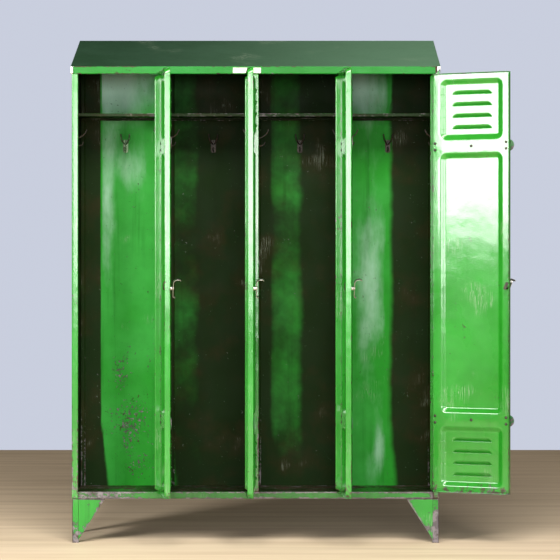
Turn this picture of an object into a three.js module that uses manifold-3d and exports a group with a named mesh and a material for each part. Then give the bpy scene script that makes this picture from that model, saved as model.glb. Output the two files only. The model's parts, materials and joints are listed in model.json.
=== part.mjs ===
// A four-door steel school locker on folded corner feet, with a roof that slopes down to the
// front, a hat shelf and coat hooks in each compartment, and pressed doors hung on lift-off hinges.
// All sizes are in millimetres. X runs to the right along the front, Y to the back and Z up.
import * as THREE from 'three';
import { mergeVertices } from 'three/addons/utils/BufferGeometryUtils.js';
import Module from 'manifold-3d';

const wasm = await Module();
wasm.setup();

// The cabinet
const WIDTH = 1250;
const DEPTH = 380;
const COMPARTMENTS = 4;
const FOOT_HEIGHT = 150;
const RAIL_HEIGHT = 23;
const FLOOR_RECESS = 10;
const OPENING_TOP = 1594;
const ROOF_FRONT_HEIGHT = 1620;
const ROOF_BACK_HEIGHT = 1745;
const ROOF_OVERHANG = { front: 2, side: 4 };
const ROOF_LIP = 22;
const SHEET = 1;
const GAP = 0.3;
const STILE_WIDTH = 21;
const STILE_DEPTH = 20;
const BACK_FLANGE = 16;
const LINTEL_CLEARANCE = 2;
const SHELF_HEIGHT = 1470;
const SHELF_SETBACK = 150;
const SHELF_LIP = 10;

// The feet
const FOOT_PLATE = 2;
const FOOT_SPAN = 110;
const FOOT_TOE = 22;
const REAR_TOE = 5;
const FOOT_TOE_HEIGHT = 12;
const FOOT_INSET = 2;

// The doors, as they stand when the locker is shown open
const OPEN_ANGLES = [99.5, 92.5, 95.5, 154];
const HINGE_SIDE_GAP = 3;
const LATCH_SIDE_GAP = 2;
const DOOR_END_GAP = 2.25;
const DOOR_DEPTH = 20;
const AXIS_SIDE = 1.8;
const AXIS_PROUD = 3.6;
const PANEL_MARGIN = 27;
const PANEL_TOP_MARGIN = 18;
const PANEL_RISE = 8;
const PANEL_SLOPE = 20;
const PANEL_CORNER = 24;
const PANEL_INNER_CORNER = 8;
const BAND_HEIGHT = 41;
const VENT_PANEL_HEIGHT = 208;
const CORNER_STEPS = 3;

// The louvres in the upper and lower panel of each door
const LOUVRES = 4;
const LOUVRE_PITCH = 39;
const LOUVRE_LENGTH = 142;
const LOUVRE_HEIGHT = 14;
const LOUVRE_RISE = 7;
const LOUVRE_END = 12;

// The stop plates at the free edge
const STOP_RADIUS = 20;
const STOP_REACH = 12;
const STOP_PLATE = 1.5;

// The lift-off hinges
const HINGE_HALF = 29;
const KNUCKLE_RADIUS = 3.2;
const PIN_RADIUS = 1.5;
const PIN_HOLE_RADIUS = 1.9;
const PIN_LENGTH = 25;
const LEAF = 1.2;
const DOOR_LEAF_WIDTH = 26;
const FRAME_LEAF_DEPTH = 19.6;
const KNUCKLE_CLEARANCE = 1;

// The turning latch
const LATCH_HEIGHT = 866;
const LATCH_INSET = 12;
const LATCH_TILT = 22;
const SPINDLE_RADIUS = 4;
const SPINDLE_CLEARANCE = 0.5;
const LEVER_WIDTH = 13;
const LEVER_PLATE = 2;
const LEVER_STANDOFF = 9;
const CAM_WIDTH = 10;
const CAM_LENGTH = 22;
const CAM_PLATE = 2;
const CAM_CLEARANCE = 0.8;

// The coat hooks
const HOOK_HEIGHT = 1372;
const SIDE_HOOK_SETBACK = 90;
const HOOK_ROD = 2.5;
const WIRE_ROD = 2;
const ROD_SIDES = 6;
const ROD_STEPS = 5;

// Straight pieces that stand for a curve: each arc or bend of an outline
const ARC_STEPS = 4;

// Values that follow from the ones above
const OPENING_WIDTH = (WIDTH - (COMPARTMENTS + 1) * STILE_WIDTH) / COMPARTMENTS;
const PITCH = OPENING_WIDTH + STILE_WIDTH;
const HALF = WIDTH / 2;
const RAIL_TOP = FOOT_HEIGHT + RAIL_HEIGHT;
const FLOOR_TOP = RAIL_TOP - FLOOR_RECESS;
const ROOF_RUN = ROOF_OVERHANG.front + DEPTH;
const ROOF_SLOPE = (ROOF_BACK_HEIGHT - ROOF_FRONT_HEIGHT) / ROOF_RUN;
const ROOF_CLEARANCE = SHEET * 1.5;
const BACK_FACE = DEPTH - SHEET - GAP;
const HINGE_EDGE = AXIS_SIDE - HINGE_SIDE_GAP;
const FREE_EDGE = AXIS_SIDE - OPENING_WIDTH + LATCH_SIDE_GAP;
const DOOR_BOTTOM = RAIL_TOP + DOOR_END_GAP;
const DOOR_TOP = OPENING_TOP - DOOR_END_GAP;
const LATCH_X = FREE_EDGE + LATCH_INSET;
const CAM_FRONT = AXIS_PROUD + STILE_DEPTH + CAM_CLEARANCE;
const TOP_PANEL = [DOOR_TOP - PANEL_TOP_MARGIN - VENT_PANEL_HEIGHT, DOOR_TOP - PANEL_TOP_MARGIN];
const LOW_PANEL = [DOOR_BOTTOM + PANEL_TOP_MARGIN, DOOR_BOTTOM + PANEL_TOP_MARGIN + VENT_PANEL_HEIGHT];
const MID_PANEL = [LOW_PANEL[1] + BAND_HEIGHT, TOP_PANEL[0] - BAND_HEIGHT];
const BAND_HEIGHTS = [TOP_PANEL[0] - BAND_HEIGHT / 2, LOW_PANEL[1] + BAND_HEIGHT / 2];
const STOP_CENTRE = FREE_EDGE - STOP_REACH + STOP_RADIUS;

// Directions in which an outline, drawn in a plane, is pushed out into a solid
const X = new THREE.Vector3(1, 0, 0);
const Y = new THREE.Vector3(0, 1, 0);
const Z = new THREE.Vector3(0, 0, 1);
const SIDE_VIEW = new THREE.Matrix4().makeBasis(Y, Z, X);
const FRONT_VIEW = new THREE.Matrix4().makeBasis(X, Z, Y.clone().negate());

function roofHeight(y) {
  return ROOF_FRONT_HEIGHT + (y + ROOF_OVERHANG.front) * ROOF_SLOPE;
}

// Solids ------------------------------------------------------------------------------------

function toSolid(geometry) {
  const bare = geometry.clone();
  bare.deleteAttribute('normal');
  bare.deleteAttribute('uv');
  const merged = mergeVertices(bare);
  const vertProperties = new Float32Array(merged.attributes.position.array);
  const triVerts = new Uint32Array(merged.index.array);
  return new wasm.Manifold(new wasm.Mesh({ numProp: 3, vertProperties, triVerts }));
}

function toGeometry(solid) {
  const mesh = solid.getMesh();
  const geometry = new THREE.BufferGeometry();
  geometry.setAttribute('position', new THREE.BufferAttribute(mesh.vertProperties, 3));
  geometry.setIndex(new THREE.BufferAttribute(mesh.triVerts, 1));
  return geometry;
}

// The same geometry turned over in one direction, with its faces still pointing out
function mirrored(geometry, axis) {
  const turned = geometry.clone().scale(1 - 2 * axis.x, 1 - 2 * axis.y, 1 - 2 * axis.z);
  const index = turned.index.array;
  for (let i = 0; i < index.length; i += 3) {
    [index[i], index[i + 1]] = [index[i + 1], index[i]];
  }
  return turned;
}

function joined(solids) {
  return solids.reduce((whole, solid) => whole.add(solid));
}

function outline(points) {
  return new THREE.Shape(points.map(([u, v]) => new THREE.Vector2(u, v)));
}

// An outline pushed along Z from one value to another
function pushed(shape, [from, to], curveSegments = ARC_STEPS) {
  const geometry = new THREE.ExtrudeGeometry(shape, { depth: 1, curveSegments, bevelEnabled: false });
  const position = geometry.attributes.position;
  for (let i = 0; i < position.count; i += 1) {
    position.setZ(i, position.getZ(i) > 0.5 ? to : from);
  }
  return geometry;
}

// An outline in plan, pushed up from one height to another
function upright(shape, z) {
  return toSolid(pushed(shape, z));
}

// An outline seen from the side, drawn in Y and Z, pushed across from one X to another
function across(shape, x) {
  return toSolid(pushed(shape, x).applyMatrix4(SIDE_VIEW));
}

// An outline seen from the front, drawn in X and Z, pushed from one Y to another
function facing(shape, y) {
  return toSolid(pushed(shape, [-y[1], -y[0]]).applyMatrix4(FRONT_VIEW));
}

function block(x, y, z) {
  return upright(outline([[x[0], y[0]], [x[1], y[0]], [x[1], y[1]], [x[0], y[1]]]), z);
}

// A curved outline as straight pieces, moved to its place
function moved(shape, u, v) {
  const points = shape.extractPoints(ARC_STEPS).shape;
  return outline(points.map((point) => [point.x + u, point.y + v]));
}

// A strip of sheet bent along a line, with its thickness to the left of the line
function strip(points, thickness = SHEET) {
  const line = points.map(([u, v]) => new THREE.Vector2(u, v));
  const normals = [];
  for (let i = 1; i < line.length; i += 1) {
    const along = line[i].clone().sub(line[i - 1]).normalize();
    normals.push(new THREE.Vector2(-along.y, along.x));
  }
  const inner = line.map((point, i) => {
    const before = normals[Math.max(i - 1, 0)];
    const after = normals[Math.min(i, normals.length - 1)];
    const mitre = before.clone().add(after).divideScalar(1 + before.dot(after));
    return point.clone().addScaledVector(mitre, thickness);
  });
  return new THREE.Shape([...line, ...inner.reverse()]);
}

function circle(radius, u = 0, v = 0) {
  return new THREE.Shape().absarc(u, v, radius, 0, 2 * Math.PI, false);
}

// A round rod along a smooth curve through the points
function rod(points, radius) {
  const extrudePath = new THREE.CatmullRomCurve3(points.map((point) => new THREE.Vector3(...point)));
  const section = circle(radius);
  const options = { steps: ROD_STEPS, curveSegments: ROD_SIDES / 2, bevelEnabled: false, extrudePath };
  return toSolid(new THREE.ExtrudeGeometry(section, options));
}

// A rectangle with round corners in X and Z, counter-clockwise from the front
function roundedRectangle(x, z, radius) {
  const corners = [
    [x[1] - radius, z[1] - radius],
    [x[0] + radius, z[1] - radius],
    [x[0] + radius, z[0] + radius],
    [x[1] - radius, z[0] + radius],
  ];
  const points = [];
  corners.forEach(([cx, cz], corner) => {
    for (let step = 0; step <= CORNER_STEPS; step += 1) {
      const angle = (corner + step / CORNER_STEPS) * Math.PI / 2;
      points.push([cx + radius * Math.cos(angle), cz + radius * Math.sin(angle)]);
    }
  });
  return points;
}

// A closed solid through outlines of the same count, each at its own Y, from back to front
function loft(levels) {
  const count = levels[0].points.length;
  const positions = levels.flatMap(({ points, y }) => points.flatMap(([px, pz]) => [px, y, pz]));
  const front = (levels.length - 1) * count;
  const index = [];
  for (let level = 1; level < levels.length; level += 1) {
    for (let i = 0; i < count; i += 1) {
      const j = (i + 1) % count;
      const back = (level - 1) * count;
      const near = level * count;
      index.push(back + i, back + j, near + j, back + i, near + j, near + i);
    }
  }
  for (let i = 1; i < count - 1; i += 1) {
    index.push(0, i + 1, i, front, front + i, front + i + 1);
  }
  const geometry = new THREE.BufferGeometry();
  geometry.setAttribute('position', new THREE.Float32BufferAttribute(positions, 3));
  geometry.setIndex(index);
  return toSolid(geometry);
}

// Meshes ------------------------------------------------------------------------------------

const FINISHES = {
  enamel: { color: 0x2f9a3d, roughness: 0.3, metalness: 0.1 },
  roofEnamel: { color: 0x43705a, roughness: 0.45, metalness: 0.1 },
  brightSteel: { color: 0xb9b9b4, roughness: 0.35, metalness: 1 },
  darkSteel: { color: 0x4f4a44, roughness: 0.6, metalness: 0.8 },
};

function piece(name, geometry, finish) {
  const mesh = new THREE.Mesh(geometry, new THREE.MeshStandardMaterial(FINISHES[finish]));
  mesh.name = name;
  return mesh;
}

const locker = new THREE.Group();

// Sides and dividers ------------------------------------------------------------------------

const aboveRoofLine = across(outline([
  [-DEPTH, roofHeight(-DEPTH) - ROOF_CLEARANCE],
  [2 * DEPTH, roofHeight(2 * DEPTH) - ROOF_CLEARANCE],
  [2 * DEPTH, 2 * ROOF_BACK_HEIGHT],
  [-DEPTH, 2 * ROOF_BACK_HEIGHT],
]), [-WIDTH, WIDTH]);

// The wall turns in at the back and wraps round the front as a stile with a return
function leftSide() {
  const section = strip([
    [-HALF + STILE_WIDTH, STILE_DEPTH],
    [-HALF + STILE_WIDTH, 0],
    [-HALF, 0],
    [-HALF, BACK_FACE],
    [-HALF + BACK_FLANGE, BACK_FACE],
  ].reverse());
  return upright(section, [FOOT_HEIGHT, ROOF_BACK_HEIGHT]).subtract(aboveRoofLine);
}

// The wall stands on the middle of its stile, which the same sheet folds into a box
function divider(x) {
  const half = STILE_WIDTH / 2;
  const section = strip([
    [x + half, STILE_DEPTH],
    [x + half, 0],
    [x - half, 0],
    [x - half, STILE_DEPTH],
    [x - SHEET / 2, STILE_DEPTH],
    [x - SHEET / 2, BACK_FACE],
    [x + BACK_FLANGE, BACK_FACE],
  ].reverse());
  const sides = [x - STILE_WIDTH, x + STILE_WIDTH];
  const lintelFront = [-STILE_DEPTH, STILE_DEPTH + LINTEL_CLEARANCE];
  const lintelNotch = block(sides, lintelFront, [OPENING_TOP, ROOF_BACK_HEIGHT]);
  const railNotch = block(sides, [-STILE_DEPTH, STILE_DEPTH + GAP], [0, RAIL_TOP + GAP]);
  const whole = upright(section, [FLOOR_TOP + GAP, ROOF_BACK_HEIGHT]);
  return whole.subtract(aboveRoofLine).subtract(lintelNotch).subtract(railNotch);
}

// The middle of the stile between compartment i and the one on its left
function dividerMiddle(i) {
  return i * PITCH + STILE_WIDTH / 2 - HALF;
}

const leftShape = toGeometry(leftSide());
locker.add(piece('left_side', leftShape, 'enamel'));
locker.add(piece('right_side', mirrored(leftShape, X), 'enamel'));
for (let i = 1; i < COMPARTMENTS; i += 1) {
  locker.add(piece(`divider_${i}`, toGeometry(divider(dividerMiddle(i))), 'enamel'));
}

// Back, base, lintel and roof ---------------------------------------------------------------

function backPanel() {
  const top = ROOF_BACK_HEIGHT - ROOF_LIP - GAP;
  return block([-HALF, HALF], [DEPTH - SHEET, DEPTH], [FOOT_HEIGHT, top]);
}

// The plan of the floor, notched round the side stiles and drawn in by an inset
function floorPlan(inset) {
  const rail = HALF - STILE_WIDTH - GAP - inset;
  const wide = HALF - SHEET - GAP - inset;
  const front = inset;
  const notch = STILE_DEPTH + GAP + inset;
  const back = BACK_FACE - SHEET - GAP - inset;
  return outline([
    [-rail, front], [rail, front], [rail, notch], [wide, notch],
    [wide, back], [-wide, back], [-wide, notch], [-rail, notch],
  ]);
}

// The floor is a tray turned upside down, sunk behind the bottom rail that its front folds into
function basePanel() {
  const whole = upright(floorPlan(0), [FOOT_HEIGHT, RAIL_TOP]);
  const recess = block([-WIDTH, WIDTH], [STILE_DEPTH, WIDTH], [FLOOR_TOP, WIDTH]);
  const hollow = upright(floorPlan(SHEET), [0, FLOOR_TOP - SHEET]);
  const railEnd = HALF - STILE_WIDTH - GAP - SHEET;
  const railFront = [SHEET, STILE_DEPTH - SHEET];
  const railHollow = block([-railEnd, railEnd], railFront, [FOOT_HEIGHT, RAIL_TOP - SHEET]);
  return whole.subtract(recess).subtract(hollow).subtract(railHollow);
}

function lintel() {
  const low = OPENING_TOP + GAP;
  const high = roofHeight(0) - 2 * ROOF_CLEARANCE;
  const section = strip([[STILE_DEPTH, high], [0, high], [0, low], [STILE_DEPTH, low]]);
  const reach = HALF - STILE_WIDTH - GAP;
  return across(section, [-reach, reach]);
}

function roof() {
  const front = -ROOF_OVERHANG.front;
  const back = DEPTH;
  const side = HALF + ROOF_OVERHANG.side;
  const section = strip([
    [front, OPENING_TOP],
    [front, ROOF_FRONT_HEIGHT],
    [back, ROOF_BACK_HEIGHT],
    [back, ROOF_BACK_HEIGHT - ROOF_LIP],
  ].reverse());
  const lip = outline([
    [front, ROOF_FRONT_HEIGHT - ROOF_LIP],
    [back, ROOF_BACK_HEIGHT - ROOF_LIP],
    [back, ROOF_BACK_HEIGHT],
    [front, ROOF_FRONT_HEIGHT],
  ]);
  return joined([
    across(section, [-side, side]),
    across(lip, [-side, SHEET - side]),
    across(lip, [side - SHEET, side]),
  ]);
}

locker.add(piece('back_panel', toGeometry(backPanel()), 'enamel'));
locker.add(piece('base_panel', toGeometry(basePanel()), 'enamel'));
locker.add(piece('lintel', toGeometry(lintel()), 'enamel'));
locker.add(piece('roof', toGeometry(roof()), 'roofEnamel'));

// Hat shelves -------------------------------------------------------------------------------

function compartmentWalls(i) {
  const left = i === 0 ? -HALF + SHEET : dividerMiddle(i) + SHEET / 2;
  const right = i === COMPARTMENTS - 1 ? HALF - SHEET : dividerMiddle(i + 1) - SHEET / 2;
  return [left, right];
}

function hatShelf(i) {
  const [left, right] = compartmentWalls(i);
  const back = BACK_FACE - SHEET - GAP;
  const section = strip([
    [SHELF_SETBACK + SHELF_LIP, SHELF_HEIGHT - SHELF_LIP],
    [SHELF_SETBACK, SHELF_HEIGHT - SHELF_LIP],
    [SHELF_SETBACK, SHELF_HEIGHT],
    [back, SHELF_HEIGHT],
    [back, SHELF_HEIGHT - SHELF_LIP],
  ].reverse());
  return across(section, [left + GAP, right - GAP]);
}

for (let i = 0; i < COMPARTMENTS; i += 1) {
  locker.add(piece(`hat_shelf_${i + 1}`, toGeometry(hatShelf(i)), 'enamel'));
}

// Feet --------------------------------------------------------------------------------------

// One corner foot, its outer corner at the origin: a tapered leaf along the side with a top plate
// and a turned-in toe, and on a front foot another tapered leaf along the front
function foot(isFront) {
  const top = FOOT_HEIGHT - 2 * GAP;
  const leaf = outline([
    [0, 0], [FOOT_TOE, 0], [FOOT_TOE, FOOT_TOE_HEIGHT], [FOOT_SPAN, top], [0, top],
  ]);
  const plate = outline([[0, 0], [FOOT_SPAN, 0], [FOOT_TOE, FOOT_SPAN], [0, FOOT_SPAN]]);
  const solids = [
    across(leaf, [0, FOOT_PLATE]),
    upright(plate, [top - FOOT_PLATE, top]),
    block([0, isFront ? FOOT_TOE : REAR_TOE], [0, FOOT_TOE], [0, FOOT_PLATE]),
  ];
  return joined(isFront ? [...solids, facing(leaf, [0, FOOT_PLATE])] : solids);
}

const frontFoot = toGeometry(foot(true));
const rearFoot = toGeometry(foot(false));
const footCorner = [HALF - FOOT_INSET, FOOT_INSET, DEPTH - FOOT_INSET];
const FEET = [
  ['foot_front_left', frontFoot, -footCorner[0], footCorner[1], []],
  ['foot_front_right', frontFoot, footCorner[0], footCorner[1], [X]],
  ['foot_back_left', rearFoot, -footCorner[0], footCorner[2], [Y]],
  ['foot_back_right', rearFoot, footCorner[0], footCorner[2], [X, Y]],
];
for (const [name, shape, x, y, mirrors] of FEET) {
  const mesh = piece(name, mirrors.reduce(mirrored, shape), 'enamel');
  mesh.position.set(x, y, 0);
  locker.add(mesh);
}

// Coat hooks --------------------------------------------------------------------------------

// A double hook on the back wall: two rods that spread upwards and a short one below
function backHook() {
  const upper = [-1, 1].map((side) => rod([
    [side * 2, -1, 4], [side * 6, -14, 8], [side * 13, -27, 20], [side * 16, -31, 38],
  ], HOOK_ROD));
  const lower = rod([[0, -1, -14], [0, -14, -22], [0, -26, -20], [0, -30, -8]], HOOK_ROD);
  return joined([block([-9, 9], [-2, 0], [-26, 20]), ...upper, lower]);
}

// A wire hook on a side wall: a long prong that rises and a short one below
function sideHook() {
  const upper = rod([[1, 0, 8], [16, 0, 10], [34, 0, 22], [44, 0, 40]], WIRE_ROD);
  const lower = rod([[1, 0, -12], [14, 0, -18], [26, 0, -14], [32, 0, -4]], WIRE_ROD);
  return joined([block([0, 2], [-7, 7], [-20, 18]), upper, lower]);
}

const backHookShape = toGeometry(backHook());
const sideHookShape = toGeometry(sideHook());
for (let i = 0; i < COMPARTMENTS; i += 1) {
  const [left, right] = compartmentWalls(i);
  const hook = piece(`back_hook_${i + 1}`, backHookShape, 'darkSteel');
  hook.position.set((left + right) / 2, DEPTH - SHEET - GAP, HOOK_HEIGHT);
  locker.add(hook);
  const leftHook = piece(`side_hook_${i + 1}_left`, sideHookShape, 'darkSteel');
  leftHook.position.set(left + GAP, SIDE_HOOK_SETBACK, HOOK_HEIGHT);
  locker.add(leftHook);
  const rightHook = piece(`side_hook_${i + 1}_right`, sideHookShape, 'darkSteel');
  rightHook.position.set(right - GAP, SIDE_HOOK_SETBACK, HOOK_HEIGHT);
  rightHook.rotation.z = Math.PI;
  locker.add(rightHook);
}

// Doors -------------------------------------------------------------------------------------
// A door is drawn closed, with its hinge axis at the origin and the door on the side of -X.

// A raised panel, moved back by a shift to make the hollow behind it
function raisedPanel(z, shift) {
  const x = [FREE_EDGE + PANEL_MARGIN, HINGE_EDGE - PANEL_MARGIN];
  const foot = roundedRectangle(x, z, PANEL_CORNER);
  const crown = roundedRectangle(
    [x[0] + PANEL_SLOPE, x[1] - PANEL_SLOPE],
    [z[0] + PANEL_SLOPE, z[1] - PANEL_SLOPE],
    PANEL_INNER_CORNER,
  );
  const face = AXIS_PROUD + shift;
  return loft([
    { points: foot, y: face + SHEET / 2 },
    { points: foot, y: face },
    { points: crown, y: face - PANEL_RISE },
  ]);
}

// A louvre's hood over an open slot at its foot, smaller by an inset to make the hollow in it
function louvre(z, inset) {
  const centre = (FREE_EDGE + HINGE_EDGE) / 2;
  const half = LOUVRE_LENGTH / 2 - inset;
  const top = LOUVRE_HEIGHT - inset;
  const plan = new THREE.Shape();
  plan.moveTo(-half, -inset);
  plan.lineTo(half, -inset);
  plan.quadraticCurveTo(half, top, half - LOUVRE_END, top);
  plan.lineTo(LOUVRE_END - half, top);
  plan.quadraticCurveTo(-half, top, -half, -inset);
  const crown = AXIS_PROUD - PANEL_RISE;
  const lip = crown - LOUVRE_RISE + inset;
  const root = crown + SHEET / 2 + 2 * inset;
  const profile = new THREE.Shape();
  profile.moveTo(lip, -2 * inset);
  profile.quadraticCurveTo(lip, top, crown + inset, top);
  profile.lineTo(root, top);
  profile.lineTo(root, -2 * inset);
  const base = z - LOUVRE_HEIGHT / 2;
  const front = facing(moved(plan, centre, base), [lip - SHEET, root + SHEET]);
  return front.intersect(across(moved(profile, 0, base), [centre - LOUVRE_LENGTH, centre + LOUVRE_LENGTH]));
}

// The half-round plate that laps over the next stile when the door is shut
function stopPlate(z) {
  const half = new THREE.Shape().absarc(STOP_CENTRE, z, STOP_RADIUS, Math.PI / 2, Math.PI * 1.5, false);
  const back = AXIS_PROUD - GAP;
  const pad = [FREE_EDGE + SHEET, STOP_CENTRE - SHEET];
  return facing(half, [back - STOP_PLATE, back]).add(block(
    pad,
    [back - STOP_PLATE / 2, AXIS_PROUD + SHEET / 2],
    [z - STOP_RADIUS / 2, z + STOP_RADIUS / 2],
  ));
}

function door() {
  const back = AXIS_PROUD + DOOR_DEPTH;
  const pan = block([FREE_EDGE, HINGE_EDGE], [AXIS_PROUD, back], [DOOR_BOTTOM, DOOR_TOP]);
  const hollow = block(
    [FREE_EDGE + SHEET, HINGE_EDGE - SHEET],
    [AXIS_PROUD + SHEET, back + SHEET],
    [DOOR_BOTTOM + SHEET, DOOR_TOP - SHEET],
  );
  const shell = pan.subtract(hollow);
  const panels = [TOP_PANEL, MID_PANEL, LOW_PANEL];
  const louvreHeights = [TOP_PANEL, LOW_PANEL].flatMap((span) => {
    const middle = (span[0] + span[1]) / 2;
    return Array.from({ length: LOUVRES }, (_, k) => middle + (k - (LOUVRES - 1) / 2) * LOUVRE_PITCH);
  });
  const raised = joined([shell, ...panels.map((span) => raisedPanel(span, 0))]);
  const pressed = panels.reduce((whole, span) => whole.subtract(raisedPanel(span, SHEET)), raised);
  const hooded = joined([pressed, ...louvreHeights.map((z) => louvre(z, 0))]);
  const open = louvreHeights.reduce((whole, z) => whole.subtract(louvre(z, SHEET)), hooded);
  const hole = facing(circle(SPINDLE_RADIUS + SPINDLE_CLEARANCE, LATCH_X, LATCH_HEIGHT), [-back, back]);
  return joined([open.subtract(hole), ...BAND_HEIGHTS.map(stopPlate)]);
}

// The half of a hinge on the stile: a knuckle with the pin standing in it, and a leaf behind
function frameHinge() {
  const leaf = [GAP, GAP + LEAF];
  const bend = KNUCKLE_RADIUS + KNUCKLE_CLEARANCE;
  return joined([
    upright(circle(KNUCKLE_RADIUS), [-HINGE_HALF, -GAP]),
    upright(circle(PIN_RADIUS), [-GAP - 1, PIN_LENGTH]),
    block(leaf, [0, bend + 1], [-HINGE_HALF, -GAP]),
    block(leaf, [bend, FRAME_LEAF_DEPTH], [-HINGE_HALF, HINGE_HALF]),
  ]);
}

// The half of a hinge on the door: a knuckle that drops over the pin, and a leaf on the face
function doorHinge() {
  const ring = circle(KNUCKLE_RADIUS);
  ring.holes.push(new THREE.Path().absarc(0, 0, PIN_HOLE_RADIUS, 0, 2 * Math.PI, true));
  const leaf = [AXIS_PROUD - GAP - LEAF, AXIS_PROUD - GAP];
  const bend = -KNUCKLE_RADIUS - KNUCKLE_CLEARANCE / 2;
  return joined([
    upright(ring, [GAP, HINGE_HALF]),
    block([bend - 1, -SHEET / 2], leaf, [GAP, HINGE_HALF]),
    block([-DOOR_LEAF_WIDTH, bend], leaf, [-HINGE_HALF, HINGE_HALF]),
  ]);
}

// The lever outside the door, drawn upright about its spindle: a bent strip with a curled lip
function lever() {
  const section = strip([
    [-LEVER_STANDOFF - 8, -33],
    [-LEVER_STANDOFF - 2, -31],
    [-LEVER_STANDOFF, -26],
    [-LEVER_STANDOFF, 22],
    [-LEVER_STANDOFF - 4, 29],
    [-LEVER_STANDOFF - 12, 33],
    [-LEVER_STANDOFF - 22, 32],
    [-LEVER_STANDOFF - 26, 28],
  ], LEVER_PLATE);
  const bar = across(section, [-LEVER_WIDTH / 2, LEVER_WIDTH / 2]);
  const boss = facing(circle(LEVER_WIDTH / 2), [-LEVER_STANDOFF - SHEET, -GAP]);
  return bar.add(boss);
}

// The cam inside the door with its spindle, drawn upright: it turns behind the next stile
function latchCam() {
  const half = CAM_WIDTH / 2;
  const plate = new THREE.Shape().absarc(0, CAM_LENGTH - half, half, 0, Math.PI, false);
  plate.absarc(0, 0, half, Math.PI, 2 * Math.PI, false);
  const front = CAM_FRONT - AXIS_PROUD;
  return joined([
    facing(plate, [front, front + CAM_PLATE]),
    facing(circle(SPINDLE_RADIUS), [0, front + SHEET]),
  ]);
}

const doorShape = toGeometry(door());
const frameHingeShape = toGeometry(frameHinge());
const doorHingeShape = toGeometry(doorHinge());
const leverShape = toGeometry(lever());
const latchCamShape = toGeometry(latchCam());

for (let i = 0; i < COMPARTMENTS; i += 1) {
  const number = i + 1;
  const stileEdge = number * PITCH - HALF;
  const axis = [stileEdge - AXIS_SIDE, -AXIS_PROUD, 0];

  const swing = new THREE.Group();
  swing.position.set(...axis);
  swing.rotation.z = THREE.MathUtils.degToRad(OPEN_ANGLES[i]);
  swing.add(piece(`door_${number}`, doorShape, 'enamel'));

  ['top', 'bottom'].forEach((place, k) => {
    const fixed = piece(`hinge_${number}_${place}_frame`, frameHingeShape, 'enamel');
    fixed.position.set(axis[0], axis[1], BAND_HEIGHTS[k]);
    locker.add(fixed);
    const moving = piece(`hinge_${number}_${place}_door`, doorHingeShape, 'enamel');
    moving.position.z = BAND_HEIGHTS[k];
    swing.add(moving);
  });

  const latch = new THREE.Group();
  latch.position.set(LATCH_X, AXIS_PROUD, LATCH_HEIGHT);
  latch.rotation.y = -THREE.MathUtils.degToRad(LATCH_TILT);
  latch.add(piece(`lever_${number}`, leverShape, 'brightSteel'));
  latch.add(piece(`latch_cam_${number}`, latchCamShape, 'darkSteel'));
  swing.add(latch);
  locker.add(swing);
}

// The origin is under the middle of the whole locker, on the floor
const bounds = new THREE.Box3().setFromObject(locker, true);
const middle = bounds.getCenter(new THREE.Vector3());
locker.position.set(-middle.x, -middle.y, -bounds.min.z);

export default locker;
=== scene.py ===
"""The looks of a four-door steel school locker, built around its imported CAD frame.

Lengths in this file are in millimetres in the cabinet's own frame (X from the middle of the front,
Y from the plane of the stiles to the back, Z from the floor), until at() and Piece.make() turn
them into metres in the row frame.
"""

import json
import math

import bmesh
import bpy
from mathutils import Matrix, Vector


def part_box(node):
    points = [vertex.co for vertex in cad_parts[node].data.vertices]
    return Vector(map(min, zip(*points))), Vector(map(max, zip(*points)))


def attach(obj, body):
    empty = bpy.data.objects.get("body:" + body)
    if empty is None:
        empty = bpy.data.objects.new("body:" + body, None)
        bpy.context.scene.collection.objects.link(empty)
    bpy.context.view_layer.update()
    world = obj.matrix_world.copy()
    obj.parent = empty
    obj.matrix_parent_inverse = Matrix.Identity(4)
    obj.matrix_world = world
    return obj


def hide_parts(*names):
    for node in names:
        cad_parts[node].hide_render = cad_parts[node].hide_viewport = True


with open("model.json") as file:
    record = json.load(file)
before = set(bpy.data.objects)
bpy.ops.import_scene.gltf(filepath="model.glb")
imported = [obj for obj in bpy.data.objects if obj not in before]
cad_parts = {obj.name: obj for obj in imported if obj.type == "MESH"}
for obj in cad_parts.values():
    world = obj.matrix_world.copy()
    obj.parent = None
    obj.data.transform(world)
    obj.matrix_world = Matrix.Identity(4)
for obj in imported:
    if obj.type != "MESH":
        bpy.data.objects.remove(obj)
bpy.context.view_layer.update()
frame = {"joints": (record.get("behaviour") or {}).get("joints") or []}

# -------- sizes shared with the CAD
HALF, DEPTH, SHEET, GAP = 625.0, 380.0, 1.0, 0.3
STILE, STILE_DEPTH, FLANGE = 21.0, 20.0, 16.0
OPENING = (2 * HALF - 5 * STILE) / 4
PITCH = OPENING + STILE
FOOT, RAIL_TOP, FLOOR_TOP = 150.0, 173.0, 163.0
OPENING_TOP, ROOF_FRONT, ROOF_BACK = 1594.0, 1620.0, 1745.0
ROOF_SIDE, ROOF_PROUD, LIP = 4.0, 2.0, 22.0
SHELF, SHELF_FRONT, SHELF_LIP = 1470.0, 150.0, 10.0
BACK = DEPTH - SHEET - GAP
SHELF_BACK = BACK - SHEET - GAP
ROOF_SLOPE = (ROOF_BACK - ROOF_FRONT) / (DEPTH + ROOF_PROUD)
AXIS_PROUD, DOOR_DEPTH = 3.6, 20.0
HINGE_EDGE, FREE_EDGE = -1.2, 3.8 - OPENING
DOOR_MIDDLE = (FREE_EDGE + HINGE_EDGE) / 2
DOOR_LOW, DOOR_HIGH = 175.25, 1591.75
MARGIN, RISE, RISE_RUN, CORNER = 27.0, 8.0, 20.0, 24.0
PANELS = [(193.25, 401.25), (442.25, 1324.75), (1365.75, 1573.75)]
BANDS, RIVETS_APART = [421.75, 1345.25], 11
LOUVRE_PITCH, LOUVRE_HALF, LOUVRE_HIGH, LOUVRE_RISE, LOUVRE_END = 39.0, 71.0, 14.0, 7.0, 12.0
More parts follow.
